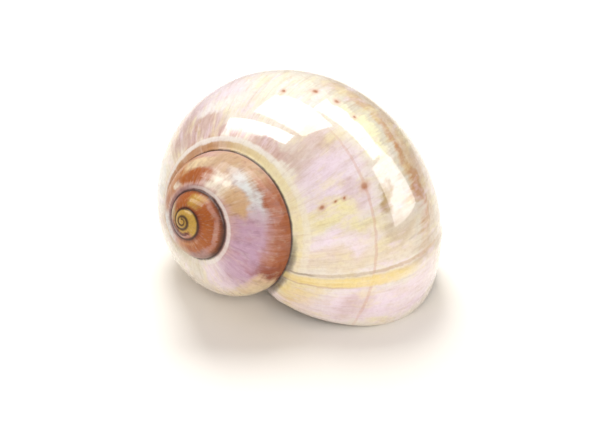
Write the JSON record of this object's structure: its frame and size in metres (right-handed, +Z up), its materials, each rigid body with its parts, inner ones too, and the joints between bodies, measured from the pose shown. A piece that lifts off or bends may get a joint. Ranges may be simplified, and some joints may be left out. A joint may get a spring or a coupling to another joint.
{
  "type": "moon snail shell",
  "caption": "Globose moon snail shell with a low spiral spire and a wide half-round aperture, lying on its aperture as it would on a shelf or on sand",
  "frame": {"origin": "centre of the bounding box at the level of the surface the shell lies on", "axes": "+Z up; +X along the greatest length, from the spire side to the outer lip; +Y to the back, away from the side the spire points to"},
  "size_m": [0.0606, 0.0426, 0.0438],
  "materials": {
    "shell_ivory": "glossy natural shell, ivory with tan, lilac and orange-brown bands"
  },
  "bodies": {
    "root": {"shell": "shell_ivory"}
  },
  "joints": []
}
